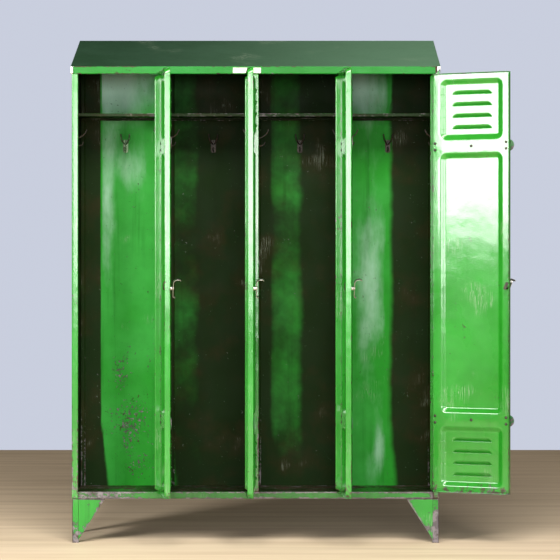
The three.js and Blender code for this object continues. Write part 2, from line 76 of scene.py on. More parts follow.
LATCH_X, LATCH_Z, LATCH_TILT = FREE_EDGE + 12, 866.0, math.radians(22)
HOOK_Z, SIDE_HOOK_Y = 1372.0, 90.0
HINGE_HALF = 29.0

left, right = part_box("left_side"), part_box("right_side")
ORIGIN = Vector(((left[0].x + right[1].x) / 2, left[0].y, 0))
CABINET = Matrix.Translation(ORIGIN) @ Matrix.Scale(0.001, 4)


def at(x, y, z):
    return CABINET @ Vector((x, y, z))


# -------- camera
CAMERA, FOCAL_LENGTH = (83, -8200, 893.5), 155.06
lens = bpy.data.cameras.new("camera")
lens.sensor_width = 36
lens.lens = FOCAL_LENGTH
lens.clip_end = 200
camera = bpy.data.objects.new("camera", lens)
bpy.context.scene.collection.objects.link(camera)
camera.location = at(*CAMERA)
camera.rotation_euler = (math.pi / 2, 0, 0)
bpy.context.scene.camera = camera
bpy.context.scene.view_settings.view_transform = "Standard"


# -------- materials
class Shader:
    """A short way to write a material's nodes."""

    def __init__(self, name):
        self.material = bpy.data.materials.new(name)
        self.material.use_nodes = True
        self.tree = self.material.node_tree
        self.bsdf = self.tree.nodes["Principled BSDF"]
        self.place = self.node("ShaderNodeTexCoord").outputs["Object"]

    def node(self, kind, **settings):
        made = self.tree.nodes.new(kind)
        for key, value in settings.items():
            setattr(made, key, value)
        return made

    def put(self, socket, value):
        if hasattr(value, "is_output"):
            self.tree.links.new(value, socket)
        else:
            socket.default_value = value

    def stretched(self, scale, turn=(0, 0, 0)):
        made = self.node("ShaderNodeMapping")
        self.put(made.inputs["Vector"], self.place)
        made.inputs["Scale"].default_value = scale
        made.inputs["Rotation"].default_value = turn
        return made.outputs[0]

    def noise(self, scale, detail=2.0, rough=0.5, place=None):
        made = self.node("ShaderNodeTexNoise")
        self.put(made.inputs["Vector"], place or self.place)
        made.inputs["Scale"].default_value = scale
        made.inputs["Detail"].default_value = detail
        made.inputs["Roughness"].default_value = rough
        return made.outputs["Fac"]

    def math(self, kind, a, b=0.0, c=0.0):
        made = self.node("ShaderNodeMath", operation=kind)
        for socket, value in zip(made.inputs, (a, b, c)):
            self.put(socket, value)
        return made.outputs[0]

    def band(self, value, low, high, to=(0.0, 1.0)):
        made = self.node("ShaderNodeMapRange", interpolation_type="SMOOTHSTEP")
        for key, given in zip(("Value", "From Min", "From Max", "To Min", "To Max"),
                              (value, low, high, *to)):
            self.put(made.inputs[key], given)
        return made.outputs[0]

    def mix(self, share, a, b):
        made = self.node("ShaderNodeMix", data_type="RGBA")
        self.put(made.inputs[0], share)
        for socket, value in ((made.inputs[6], a), (made.inputs[7], b)):
            self.put(socket, (*value, 1) if isinstance(value, tuple) else value)
        return made.outputs[2]

    def attribute(self, name):
        return self.node("ShaderNodeAttribute", attribute_name=name).outputs["Fac"]

    def axis(self, name):
        made = self.node("ShaderNodeSeparateXYZ")
        self.put(made.inputs[0], self.place)
        return made.outputs[name]

    def bump(self, height, strength, distance, under=None):
        made = self.node("ShaderNodeBump")
        self.put(made.inputs["Height"], height)
        made.inputs["Strength"].default_value = strength
        made.inputs["Distance"].default_value = distance
        if under is not None:
            self.put(made.inputs["Normal"], under)
        return made.outputs[0]

    def scratches(self, turn, amount):
        lines = self.noise(1.0, 2.0, 0.5, self.stretched((180, 180, 5), turn))
        thin = self.math("ABSOLUTE", self.math("SUBTRACT", lines, 0.5))
        where = self.band(self.noise(7.0, 3.0), 0.62 - amount, 0.72 - amount)
        return self.math("MULTIPLY", self.band(thin, 0.012, 0.004), where)


# The first colour mottles the dirt, which inside the cabinet is also painted shade.
RUSTY_SOIL_AND_SHADE, SCRATCHED = (0.017, 0.011, 0.004), (0.30, 0.36, 0.27)
BARE_METAL = (0.165, 0.145, 0.155), (0.085, 0.070, 0.076)
RUSTED_METAL = (0.062, 0.037, 0.026), (0.032, 0.021, 0.016)


def darker(colour, share):
    return tuple(c * share for c in colour)


def enamel(name, paint, faded, chips=0.5, rust=0.35, grime_and_shade=0.0, brown=(0.045, 0.028, 0.016),
           gloss=0.3, coat=1.0, shine=0.2, streaks=0.25, scratch=0.05, fade=None, dust_and_sheen=None,
           clump=0.38):
    """Brushed-on gloss enamel over sheet steel: it chips along bends and rusts where it chipped.
    chips, rust, grime, streaks and scratch say how much of each there is, and clump how coarse the
    chips are; grime stands for dirt and, on the inside of the cabinet, for painted shade. brown is
    the colour of that dirt and painted shade, dust that of a pale film of settled dirt and painted
    sheen where grime is below 0, and fade that of the right-hand end. gloss is the roughness and
    shine the specular level."""
    s = Shader(name)
    wear = s.attribute("wear")
    tone = s.band(s.noise(4.0, 3.0), 0.35, 0.65)
    colour = s.mix(tone, paint, faded)
    cloud = s.band(s.noise(22.0, 4.0, 0.6), 0.3, 0.75)
    colour = s.mix(s.math("MULTIPLY", cloud, 0.22), colour, darker(paint, 0.55))
    drip = s.band(s.noise(1.0, 3.0, 0.6, s.stretched((34, 34, 1.6))), 0.52, 0.78)
    colour = s.mix(s.math("MULTIPLY", drip, streaks), colour, darker(paint, 0.45))
    if fade:
        colour = s.mix(s.band(s.axis("X"), -HALF / 1000, HALF / 1000), colour, fade)
    if grime_and_shade:
        # Dirt, and on the inside of the cabinet painted shade, darkens the paint here.
        soil = s.math("MULTIPLY_ADD", s.noise(3.2, 5.0, 0.65), 0.9, -0.45)
        soil = s.math("ADD", soil, s.math("MULTIPLY", s.attribute("grime_and_shade"), grime_and_shade))
        mottled = s.mix(s.band(s.noise(7.0, 4.0, 0.6), 0.45, 0.7), brown, RUSTY_SOIL_AND_SHADE)
        colour = s.mix(s.band(soil, 0.2, 0.75, (0.0, 0.97)), colour, mottled)
    # A pale film: settled dirt and painted sheen.
    if dust_and_sheen:
        film = s.math("MULTIPLY_ADD", s.noise(1.0, 4.0, 0.6, s.stretched((14, 14, 5))), 0.9,
                      s.math("MULTIPLY", s.attribute("grime_and_shade"), -1.0))
        colour = s.mix(s.band(film, 0.58, 1.4, (0.0, 0.85)), colour, dust_and_sheen)
    grain = s.math("ADD", s.math("MULTIPLY", s.noise(95.0, 5.0, 0.7), 1 - clump),
                   s.math("MULTIPLY", s.noise(17.0, 4.0, 0.6), clump))
    often = s.band(s.noise(2.3, 3.0, 0.6), 0.35, 0.62, (0.35, 1.0))
    worn = s.math("MULTIPLY_ADD", s.math("MULTIPLY", wear, often), 0.36 * chips, grain)
    worn = s.math("ADD", worn, 0.07 * chips)
    ring = s.band(worn, 0.655, 0.685)
    bare = s.band(worn, 0.675, 0.70)
    scar = s.math("MAXIMUM", s.scratches((0.0, 0.0, 0.0), scratch),
                  s.scratches((0.5, 0.9, 0.2), scratch))
    metal = s.mix(s.band(s.noise(60.0, 3.0), 0.4, 0.6), *BARE_METAL)
    rusty = s.mix(s.band(s.noise(130.0, 3.0, 0.7), 0.35, 0.65), *RUSTED_METAL)
    metal = s.mix(s.band(s.noise(26.0, 3.0), 0.66 - rust, 0.74 - rust), metal, rusty)
    colour = s.mix(s.math("MULTIPLY", scar, 0.55), colour, SCRATCHED)
    colour = s.mix(ring, colour, darker(paint, 0.28))
    colour = s.mix(bare, colour, metal)
    s.put(s.bsdf.inputs["Base Color"], colour)
    dull = s.band(s.noise(9.0, 3.0), 0.3, 0.8, (gloss - 0.06, gloss + 0.12))
    s.put(s.bsdf.inputs["Roughness"], s.math("MULTIPLY_ADD", bare, 0.35, dull))
    s.bsdf.inputs["Specular IOR Level"].default_value = shine
    s.bsdf.inputs["Coat Weight"].default_value = coat
    s.bsdf.inputs["Coat Roughness"].default_value = 0.07
    peel = s.bump(s.noise(240.0, 2.0, 0.5), 0.16, 0.0012)
    wave = s.bump(s.noise(11.0, 2.0, 0.5), 0.10, 0.010, peel)
    edge = s.bump(s.math("SUBTRACT", 1.0, bare), 0.5, 0.0006, wave)
    s.put(s.bsdf.inputs["Normal"], edge)
    s.put(s.bsdf.inputs["Coat Normal"], wave)
    return s.material


def steel(name, light, dark, rust, rough):
    """Worn plain steel with fine brushing and rust in patches."""
    s = Shader(name)
    wear = s.attribute("wear")
    fine = s.noise(1.0, 3.0, 0.6, s.stretched((260, 260, 20)))
    colour = s.mix(s.band(fine, 0.3, 0.7), light, dark)
    spots = s.math("MULTIPLY_ADD", s.noise(210.0, 5.0, 0.7), 0.7,
                   s.math("MULTIPLY", s.noise(48.0, 3.0), 0.3))
    spots = s.math("SUBTRACT", spots, s.math("MULTIPLY", wear, 0.06))
    patch = s.band(spots, 0.66 - rust, 0.74 - rust)
    colour = s.mix(patch, colour, (0.085, 0.036, 0.018))
    s.put(s.bsdf.inputs["Base Color"], colour)
    s.put(s.bsdf.inputs["Metallic"], s.math("SUBTRACT", 1.0, s.math("MULTIPLY", patch, 0.8)))
    s.put(s.bsdf.inputs["Roughness"], s.math("MULTIPLY_ADD", patch, 0.35, rough))
    s.put(s.bsdf.inputs["Normal"], s.bump(s.math("ADD", fine, patch), 0.12, 0.0006))
    return s.material


def paper():
    s = Shader("label_paper")
    colour = s.mix(s.band(s.noise(160.0, 3.0), 0.35, 0.7), (0.70, 0.68, 0.60), (0.52, 0.49, 0.42))
    stain = s.band(s.noise(420.0, 4.0, 0.7), 0.62, 0.7)
    s.put(s.bsdf.inputs["Base Color"], s.mix(stain, colour, (0.30, 0.26, 0.20)))
    s.bsdf.inputs["Roughness"].default_value = 0.7
    s.put(s.bsdf.inputs["Normal"], s.bump(s.noise(700.0, 2.0), 0.2, 0.0003))
    return s.material


def pale_floor():
    s = Shader("pale_floor")
    grain = s.noise(1.0, 4.0, 0.6, s.stretched((0.8, 9, 1)))
    colour = s.mix(s.band(grain, 0.3, 0.75), (0.82, 0.66, 0.48), (0.65, 0.50, 0.34))
    s.put(s.bsdf.inputs["Base Color"], colour)
    s.bsdf.inputs["Roughness"].default_value = 0.55
    return s.material


GREEN, FADED = (0.012, 0.175, 0.010), (0.021, 0.225, 0.020)
SHELTERED = (0.018, 0.22, 0.012), (0.034, 0.28, 0.030)
# A near-black colour for the inside, the shelves and the floor pan: dirt and painted shade.
DARK_SOIL_AND_SHADE = (0.0065, 0.0115, 0.0028)
DOOR_PAINT = enamel("door_enamel", GREEN, FADED, chips=0.42, rust=0.30, gloss=0.30, grime_and_shade=0.5,
                    brown=(0.05, 0.035, 0.016))
BODY_PAINT = enamel("body_enamel", GREEN, FADED, chips=0.55, rust=0.22, gloss=0.32)
LIP_PAINT = enamel("lip_enamel", (0.010, 0.145, 0.014), (0.016, 0.18, 0.026), chips=0.5, rust=0.3,
                   gloss=0.45, coat=0.06, shine=0.1)
RAIL_PAINT = enamel("rail_enamel", GREEN, FADED, chips=0.85, rust=0.04, gloss=0.42, coat=0.25,
                    streaks=0.6, grime_and_shade=1.1, brown=(0.030, 0.040, 0.020))
INSIDE = enamel("inside_enamel", (0.018, 0.23, 0.018), (0.034, 0.29, 0.040), chips=0.55, rust=0.1,
                gloss=0.5, coat=0.0, shine=0.04, streaks=0.5, scratch=0.0, clump=0.25,
                grime_and_shade=1.0, brown=DARK_SOIL_AND_SHADE, dust_and_sheen=(0.43, 0.64, 0.52))
SHELF_PAINT = enamel("shelf_enamel", *SHELTERED, chips=0.45, rust=0.1, gloss=0.5, coat=0.0,
                     shine=0.1, scratch=0.0, grime_and_shade=1.0, brown=DARK_SOIL_AND_SHADE)
FLOOR_PAN = enamel("floor_pan_enamel", *SHELTERED, chips=0.8, rust=0.3, gloss=0.5, coat=0.0,
                   shine=0.1, streaks=0.2, grime_and_shade=0.8, brown=DARK_SOIL_AND_SHADE)
ROOF_PAINT = enamel("roof_enamel", (0.013, 0.043, 0.020), (0.018, 0.052, 0.027), chips=0.2,
                    rust=0.2, gloss=0.55, coat=0.0, streaks=0.1, scratch=0.02,
                    fade=(0.08, 0.165, 0.10))
FOOT_PAINT = enamel("foot_enamel", GREEN, FADED, chips=0.95, rust=0.12, gloss=0.42, coat=0.2,
                    streaks=0.65, grime_and_shade=1.0, brown=(0.012, 0.02, 0.008))
BRIGHT = steel("bright_steel", (0.62, 0.62, 0.60), (0.40, 0.39, 0.37), 0.06, 0.30)
# A lighter steel for the hook that stands in light: painted light.
LIT_HOOK_STEEL = steel("lit_hook_steel", (0.24, 0.36, 0.22), (0.06, 0.08, 0.045), 0.06, 0.60)
DARK = steel("dark_steel", (0.075, 0.068, 0.060), (0.035, 0.031, 0.027), 0.16, 0.58)
PLATE = enamel("plate_enamel", (0.022, 0.10, 0.035), (0.040, 0.13, 0.05), chips=0.6, rust=0.15,
               gloss=0.5, coat=0.05, shine=0.1)
PAPER = paper()


# -------- mesh code
SHARP_ANGLE, BEVEL_ANGLE = math.radians(38), math.radians(40)
# Above this much grime a face takes the darker material, for dirt and painted shade.
SOILED_AND_SHADED_ABOVE = 0.45
BEND_RADIUS, CORNER_SLIT = 2.2, 0.4
# the rows of a flange: how far the bend has turned, the share of the depth below it, the wear
FLANGE_ROWS = [(math.radians(turn), 0.0, 0.8) for turn in (22.5, 45, 67.5, 90)]
FLANGE_ROWS += [(math.pi / 2, share, wear)
                for share, wear in ((0.05, 0.12), (0.25, 0.12), (0.8, 0.12), (1.0, 0.8))]
FORWARD, INWARD = Matrix.Rotation(math.pi / 2, 4, "X"), Matrix.Rotation(-math.pi / 2, 4, "X")
SWAP_XY = Matrix(((0, 1, 0, 0), (1, 0, 0, 0), (0, 0, 1, 0), (0, 0, 0, 1)))


def smooth(t):
    """A soft step from 0 to 1."""
    t = max(0.0, min(1.0, t))
    return t * t * (3 - 2 * t)


class Piece:
    """Points with their wear and their grime, which carries dirt and painted shade, and faces, in
    millimetres, to be made into objects.
    """

    def __init__(self):
        self.points, self.faces, self.wear, self.grime_and_shade = [], [], [], []

    def point(self, p, wear=0.0, grime_and_shade=0.0):
        self.points.append(Vector(p))
        self.wear.append(wear)
        self.grime_and_shade.append(grime_and_shade)
        return len(self.points) - 1

    def sheet(self, rows, closed=False):
        """Faces between rows of point numbers, triangles where two of them are the same."""
        for a, b in zip(rows, rows[1:]):
            count = len(a)
            for i in range(count if closed else count - 1):
                j = (i + 1) % count
                corners = list(dict.fromkeys([a[i], a[j], b[j], b[i]]))
                if len(corners) > 2:
                    self.faces.append(corners)

    def add(self, other, matrix=None):
        base = len(self.points)
        self.points += [matrix @ p if matrix else p.copy() for p in other.points]
        self.wear += other.wear
        self.grime_and_shade += other.grime_and_shade
        self.faces += [[base + i for i in face] for face in other.faces]
        return self

    def make(self, name, body, slot, material, matrix=None, replaces=(), thick=None, bevel=None,
             flip=False, soiled=None, lining=None):
        """soiled is the material of faces with much grime, that is much dirt and painted shade,
        lining that of the inner side.
        """
        mesh = bpy.data.meshes.new(name)
        to_row = CABINET @ matrix if matrix else CABINET
        mesh.from_pydata([to_row @ p for p in self.points], [], self.faces)
        mesh.validate()
        bm = bmesh.new()
        bm.from_mesh(mesh)
        bmesh.ops.recalc_face_normals(bm, faces=bm.faces)
        if flip:
            bmesh.ops.reverse_faces(bm, faces=bm.faces)
        for face in bm.faces:
            face.smooth = True
        for edge in bm.edges:
            if len(edge.link_faces) == 2 and edge.calc_face_angle(0) > SHARP_ANGLE:
                edge.smooth = False
        bm.to_mesh(mesh)
        bm.free()
        for key, values in (("wear", self.wear), ("grime_and_shade", self.grime_and_shade)):
            mesh.attributes.new(key, "FLOAT", "POINT").data.foreach_set("value", values)
        for used in (material, lining, soiled):
            if used:
                mesh.materials.append(used)
        if soiled:
            for polygon in mesh.polygons:
                least = min(self.grime_and_shade[k] for k in polygon.vertices)
                polygon.material_index = int(least > SOILED_AND_SHADED_ABOVE)
        obj = bpy.data.objects.new(name, mesh)
        bpy.context.scene.collection.objects.link(obj)
        if thick:
            solid = obj.modifiers.new("sheet", "SOLIDIFY")
            solid.thickness = thick / 1000
            solid.offset = -1
            solid.use_even_offset = False
            if lining:
                solid.material_offset = 1
        if bevel:
            edges = obj.modifiers.new("edges", "BEVEL")
            edges.width = bevel / 1000
            edges.segments = 2
            edges.limit_method = "ANGLE"
            edges.angle_limit = BEVEL_ANGLE
        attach(obj, body)
        if replaces:
            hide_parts(*replaces)
        return obj


def bent(points, radius, steps=4):
    """A line with its corners rounded, as (u, v, wear): 1 on the bends and at the ends, else 0."""
    line = [Vector(p) for p in points]
    out = [(*line[0], 1.0)]
    for before, corner, after in zip(line, line[1:], line[2:]):
        a, b = (before - corner), (after - corner)
        angle = a.angle(b)
        back = min(radius / math.tan(angle / 2), a.length * 0.48, b.length * 0.48)
        start, end = corner + a.normalized() * back, corner + b.normalized() * back
        near = [corner + a.normalized() * min(back + 5, a.length * 0.49),
                corner + b.normalized() * min(back + 5, b.length * 0.49)]
        out.append((*near[0], 0.0))
        for k in range(steps + 1):
            t = k / steps
            p = start * (1 - t) ** 2 + corner * 2 * t * (1 - t) + end * t * t
            out.append((*p, 1.0))
        out.append((*near[1], 0.0))
    out.append((*line[-1], 1.0))
    return out


def split(profile, longest):
    """Adds unworn points to the long straight stretches of a bent line."""
    out = [profile[0]]
    for a, b in zip(profile, profile[1:]):
        gap = math.hypot(b[0] - a[0], b[1] - a[1])
        count = max(1, math.ceil(gap / longest))
        for k in range(1, count + 1):
            t = k / count
            out.append((a[0] + (b[0] - a[0]) * t, a[1] + (b[1] - a[1]) * t,
                        b[2] if k == count else 0.0))
    return out


def folded(profile, span, across, step=30.0, grime_and_shade=None, worn=None, rubbed=None):
    """A bent sheet: its profile drawn in a plane and pushed along the third direction.
    span(u, v) gives where it starts and stops; across(u, v, w) gives the point.
    worn scales the wear of the bends and ends, and rubbed adds wear on the flat stretches."""
    piece = Piece()
    low, high = span(*profile[0][:2])
    count = max(2, round((high - low) / step))
    marks = [0.0, 0.004, 0.012] + [k / count for k in range(1, count)] + [0.988, 0.996, 1.0]
    rows = []
    for t in sorted(marks):
        end_wear = max(0.0, 1 - min(t, 1 - t) / 0.012)
        row = []
        for u, v, wear in profile:
            low, high = span(u, v)
            w = low + (high - low) * t
            soil = grime_and_shade(u, v, w) if grime_and_shade else 0.0
            share = worn(u, v, w) if worn else 1.0
            rub = rubbed(u, v, w) if rubbed else 0.0
            row.append(piece.point(across(u, v, w), max(max(wear, end_wear) * share, rub), soil))
        rows.append(row)
    piece.sheet(rows)
    return piece


def upright(u, v, w):
    return (u, v, w)


def lengthways(u, v, w):
    return (w, u, v)


def within(marks, margin):
    """The same marks, drawn in at both ends by a margin."""
    low, high = marks[0] + margin, marks[-1] - margin
    return [low] + [m for m in marks if low + 0.5 < m < high - 0.5] + [high]


def pan(us, vs, face, depths, mitre, place):
    """A pressed tray: a face over a grid with four turned-back flanges.
    face(u, v) gives (height, wear, grime), where grime carries dirt and painted shade; depths gives
    each flange's depth as a function along it; mitre is how much shorter at both ends a flange gets
    per millimetre of depth."""
    piece, radius = Piece(), BEND_RADIUS
    u0, u1, v0, v1 = us[0], us[-1], vs[0], vs[-1]
    inner_u, inner_v = within(us, radius), within(vs, radius)
    grid = []
    for v in inner_v:
        row = []
        for u in inner_u:
            height, wear, grime_and_shade = face(u, v)
            row.append(piece.point(place(u, v, -height), wear, grime_and_shade))
        grid.append(row)
    piece.sheet(grid)
    sides = (
        ([row[0] for row in grid], inner_v, lambda a, s, b: (u0 + radius - s, a, b), False),
        ([row[-1] for row in grid], inner_v, lambda a, s, b: (u1 - radius + s, a, b), True),
        (grid[0], inner_u, lambda a, s, b: (a, v0 + radius - s, b), True),
        (grid[-1], inner_u, lambda a, s, b: (a, v1 - radius + s, b), False),
    )
    for (edge, along, outward, turn), depth in zip(sides, depths):
        rows = [edge]
        first, last = along[0] - radius + CORNER_SLIT, along[-1] + radius - CORNER_SLIT
        for turned_by, share_down, wear in FLANGE_ROWS:
            row = []
            for a in along:
                out, back = radius * math.sin(turned_by), radius * (1 - math.cos(turned_by))
                back += (depth(a) - radius) * share_down
                cut = mitre * (depth(a) - radius) * share_down
                share = (a - along[0]) / (along[-1] - along[0])
                held = first + cut + share * (last - first - 2 * cut)
                row.append(piece.point(place(*outward(held, out, back)), wear))
            rows.append(row)
        piece.sheet(rows if turn else [r[::-1] for r in rows])
    return piece


def ticks(low, high, fine, coarse):
    """Grid lines from low to high: coarse, with (start, stop, step) stretches of finer ones."""
    marks = {round(low, 3), round(high, 3)}
    for start, stop, step in fine:
        count = max(1, round((stop - start) / step))
        marks |= {round(start + (stop - start) * k / count, 3) for k in range(count + 1)}
    marks = sorted(m for m in marks if low <= m <= high)
    out = [marks[0]]
    for a, b in zip(marks, marks[1:]):
        count = max(1, math.ceil((b - a) / coarse))
        out += [a + (b - a) * k / count for k in range(1, count + 1)]
    return out


def turned(profile, sides):
    """A solid of revolution about Z from (radius, height, wear) points."""
    piece, rows = Piece(), []
    for radius, height, wear in profile:
        if radius < 1e-6:
            tip = piece.point((0, 0, height), wear)
            rows.append([tip] * sides)
        else:
            rows.append([piece.point((radius * math.cos(2 * math.pi * k / sides),
                                      radius * math.sin(2 * math.pi * k / sides), height), wear)
                         for k in range(sides)])
    piece.sheet(rows, closed=True)
    return piece


def rivet(radius, height):
    return turned([(radius, 0, 0.3), (radius, height * 0.25, 0.5),
                   (radius * 0.85, height * 0.7, 0.8), (radius * 0.5, height * 0.95, 1),
                   (0, height, 1)], 14)


def rod(points, radius):
    """A round rod along a smooth curve through the points, with a ball at its far end."""
    sides, steps, ball = 10, 7, 1.35 * radius
    points = [Vector(p) for p in points]
    points[-1] -= (points[-1] - points[-2]).normalized() * ball * 1.6
    path = []
    for i in range(len(points) - 1):
        a, b, c, d = (points[max(0, min(len(points) - 1, i + k))] for k in (-1, 0, 1, 2))
        for k in range(steps):
            t = k / steps
            path.append(0.5 * (2 * b + (c - a) * t + (2 * a - 5 * b + 4 * c - d) * t * t
                               + (3 * b - a - 3 * c + d) * t ** 3))
    path.append(points[-1])
    radii = [radius] * len(path)
    direction = (path[-1] - path[-2]).normalized()
    for k in range(1, steps + 1):
        angle = math.pi * k / steps
        path.append(points[-1] + direction * ball * (1 - math.cos(angle)))
        radii.append(max(ball * math.sin(angle), 0.02))
    piece, rows = Piece(), []
    normal = direction.orthogonal()
    for i, p in enumerate(path):
        along = (path[min(i + 1, len(path) - 1)] - path[max(i - 1, 0)]).normalized()
        normal = (normal - along * normal.dot(along)).normalized()
        other = along.cross(normal)
        rows.append([piece.point(p + (normal * math.cos(2 * math.pi * k / sides)
                                      + other * math.sin(2 * math.pi * k / sides)) * radii[i],
                                 0.2 + 0.8 * (i / len(path)) ** 3) for k in range(sides)])
    piece.sheet(rows, closed=True)
    piece.faces += [rows[0][::-1], rows[-1]]
    return piece


def slab(outline, low, high):
    """A flat outline in X and Z with a thickness in Y."""
    piece = Piece()
    rows = [[piece.point((x, y, z), 0.8) for x, z in outline] for y in (low, high)]
    piece.sheet(rows, closed=True)
    piece.faces += [rows[0][::-1], rows[1]]
    return piece


def rounded(x, z, radius):
    """The outline of a rectangle with rounded corners, from the ranges of x and z."""
    west, east, south, north = x[0] + radius, x[1] - radius, z[0] + radius, z[1] - radius
    corners, steps, out = ((east, north), (west, north), (west, south), (east, south)), 4, []
    for corner, (cx, cz) in enumerate(corners):
        for k in range(steps + 1):
            angle = (corner + k / steps) * math.pi / 2
            out.append((cx + radius * math.cos(angle), cz + radius * math.sin(angle)))
    return out


# -------- cabinet
def roof_line(y):
    return ROOF_FRONT + (y + ROOF_PROUD) * ROOF_SLOPE - 1.5 * SHEET


def soil_inside(u, v, w):
    """Everything behind the stiles is darkened, as dirt and painted shade, most of all low down."""
    return smooth((v - STILE_DEPTH) / 12) * (0.8 + 0.2 * smooth((500 - w) / 330))


def worn_low(u, v, w):
    """Boots and brooms wear the stiles near the floor."""
    return 0.25 + 0.95 * smooth((620 - w) / 470)


def rubbed_low(u, v, w):
    """At its foot the left stile has lost its paint on the flat as well."""
    return 1.15 * smooth((235 - w) / 70) if v < STILE_DEPTH and u < 0 else 0.0


def side(sign):
    """A side panel, folded round the front as a stile and inwards at the back."""
    profile = split(bent([(sign * (HALF - STILE), STILE_DEPTH), (sign * (HALF - STILE), 0.0),
                          (sign * HALF, 0.0), (sign * HALF, BACK),
                          (sign * (HALF - FLANGE), BACK)], BEND_RADIUS), 60)
    return folded(profile, lambda u, v: (FOOT, roof_line(max(v, 0.0))), upright,
                  grime_and_shade=soil_inside, worn=worn_low, rubbed=rubbed_low)


def divider(x):
    """A hollow stile that runs on as a single wall. The stile stands on the rail; behind the notch
    the wall reaches down to the floor and up to the roof."""
    half = STILE / 2
    wall = x - SHEET / 2
    line = bent([(x + half, STILE_DEPTH), (x + half, 0.0), (x - half, 0.0), (x - half, STILE_DEPTH),
                 (wall, STILE_DEPTH), (wall, BACK), (wall + FLANGE, BACK)], 2.0)
    notch = STILE_DEPTH + 3.31
    edge = [(wall, notch - 0.01, 0.3), (wall, notch + 0.01, 0.3)]
    place = next(i for i, p in enumerate(line) if p[1] > notch)
    profile = split(line[:place] + edge + line[place:], 60)

    def span(u, v):
        if v < notch:
            return RAIL_TOP + GAP, OPENING_TOP
        return FLOOR_TOP + GAP, roof_line(v)

    return folded(profile, span, upright, grime_and_shade=soil_inside, worn=worn_low)


for sign, name in ((-1, "left_side"), (1, "right_side")):
    side(sign).make(name + "_sheet", "cabinet", "green_enamel", BODY_PAINT, replaces=[name],
                    thick=SHEET, lining=INSIDE)

MIDDLES = [STILE / 2 - HALF + i * PITCH for i in range(5)]
for i in (1, 2, 3):
    divider(MIDDLES[i]).make(f"divider_{i}_sheet", "cabinet", "green_enamel", BODY_PAINT,
                             replaces=[f"divider_{i}"], thick=SHEET, soiled=INSIDE)


def walls(i):
    """Where the i-th compartment starts and stops."""
    low = -HALF + SHEET if i == 0 else MIDDLES[i] + SHEET / 2
    high = HALF - SHEET if i == 3 else MIDDLES[i + 1] - SHEET / 2
    return low, high


def spot(across, along):
    """1 at the middle of a spot, fading to nothing around it."""
    return math.exp(-across ** 2 - along ** 2)


def back_panel():
    """A flat sheet darkened by dirt and painted shade except on the stretches where light falls
    into each compartment, which are painted light, and with a pale film of settled dirt and painted
    sheen in spots: grime runs from -1 for that film to 1 for the dirt and shade."""
    top = ROOF_BACK - LIP - GAP
    us = ticks(-HALF, HALF, [], 11)
    ws = ticks(FOOT, top, [(FOOT, FOOT + 12, 3), (top - 12, top, 3)], 26)
    # lit stretches, painted light falling into the compartments: from, to, painted shade left
    # there, and over how far the painted shade thickens before and after
    lit_stretches = [(-548, -340, 0.0, 7, 60), (-300, -225, 0.62, 45, 70), (62, 140, 0.52, 40, 60),
              (300, 448, 0.0, 20, 62)]
    # spots: middle across, middle up, half width, half height, amount
    # The pale spots stand for settled dirt and for painted sheen on the back wall, most of all high
    # up.
    dusty_and_sheen = [(-500, 1600, 150, 140, 1.0), (-530, 1230, 40, 330, 0.55), (-460, 1310, 80, 110, 0.45),
             (400, 900, 60, 380, 0.5), (370, 1570, 130, 110, 0.8), (432, 290, 20, 100, 0.55),
             (410, 235, 30, 60, 0.3)]
    bare = [(-430, 370, 85, 110, 0.95), (-430, 240, 60, 60, 0.7), (-480, 560, 60, 90, 0.5)]

    def most(spots, u, w):
        return max(amount * spot((u - cu) / wide, (w - cw) / tall)
                   for cu, cw, wide, tall, amount in spots)

    piece, rows = Piece(), []
    for w in ws:
        row = []
        # lower down the painted shade widens and the sheet darkens
        low_soil = smooth((420 - w) / 270)
        for u in us:
            soil = 1.0
            for low, high, least, before, after in lit_stretches:
                off = max((low - u) / before, (u - high - 25 * low_soil) / after,
                          (low + 35 * low_soil - u) / (before + 30 * low_soil), 0.0)
                soil = min(soil, least + (1 - least) * smooth(off))
            film = most(dusty_and_sheen, u, w)
            soil = soil + 0.1 * low_soil + 0.05 if soil > film else soil - film
            row.append(piece.point((u, DEPTH - SHEET, w), most(bare, u, w), min(1.0, soil)))
        rows.append(row)
    piece.sheet(rows)
    return piece


back_panel().make("back_sheet", "cabinet", "green_enamel", INSIDE, replaces=["back_panel"],
                  thick=SHEET, flip=True, lining=BODY_PAINT)


def base():
    """The bottom rail, folded back and down into the floor, which is wider behind the notch."""
    line = bent([(12.0, FOOT), (0.0, FOOT), (0.0, RAIL_TOP), (STILE_DEPTH, RAIL_TOP),
                 (STILE_DEPTH, FLOOR_TOP), (SHELF_BACK, FLOOR_TOP), (SHELF_BACK, FOOT)], 1.8)
    notch = STILE_DEPTH + 2.31
    edge = [(notch - 0.01, FLOOR_TOP, 0.2), (notch + 0.01, FLOOR_TOP, 0.2)]
    place = next(i for i, p in enumerate(line) if p[0] > notch)
    profile = split(line[:place] + edge + line[place:], 50)

    def span(u, v):
        reach = HALF - STILE - GAP if u < notch else HALF - SHEET - GAP
        return -reach, reach

    def grime_and_shade(u, v, w):
        """The rail stays just below the threshold for the darker material; the floor is above it,
        darkened as dirt and painted shade, with two greener spots that are painted light falling
        into the first and last compartments.
        """
        if u < STILE_DEPTH:
            return 0.44 - 0.12 * smooth(w / 500)
        return 0.95 - 0.45 * max(spot((w + 455) / 75, 0.0), spot((w - 395) / 75, 0.0))

    def rubbed(u, v, w):
        return 0.12 + 0.48 * smooth((-370 - w) / 170) if u < STILE_DEPTH else 0.5

    return folded(profile, span, lengthways, step=22, grime_and_shade=grime_and_shade, rubbed=rubbed)


base().make("base_sheet", "cabinet", "green_enamel", RAIL_PAINT, replaces=["base_panel"],
            thick=SHEET, soiled=FLOOR_PAN)


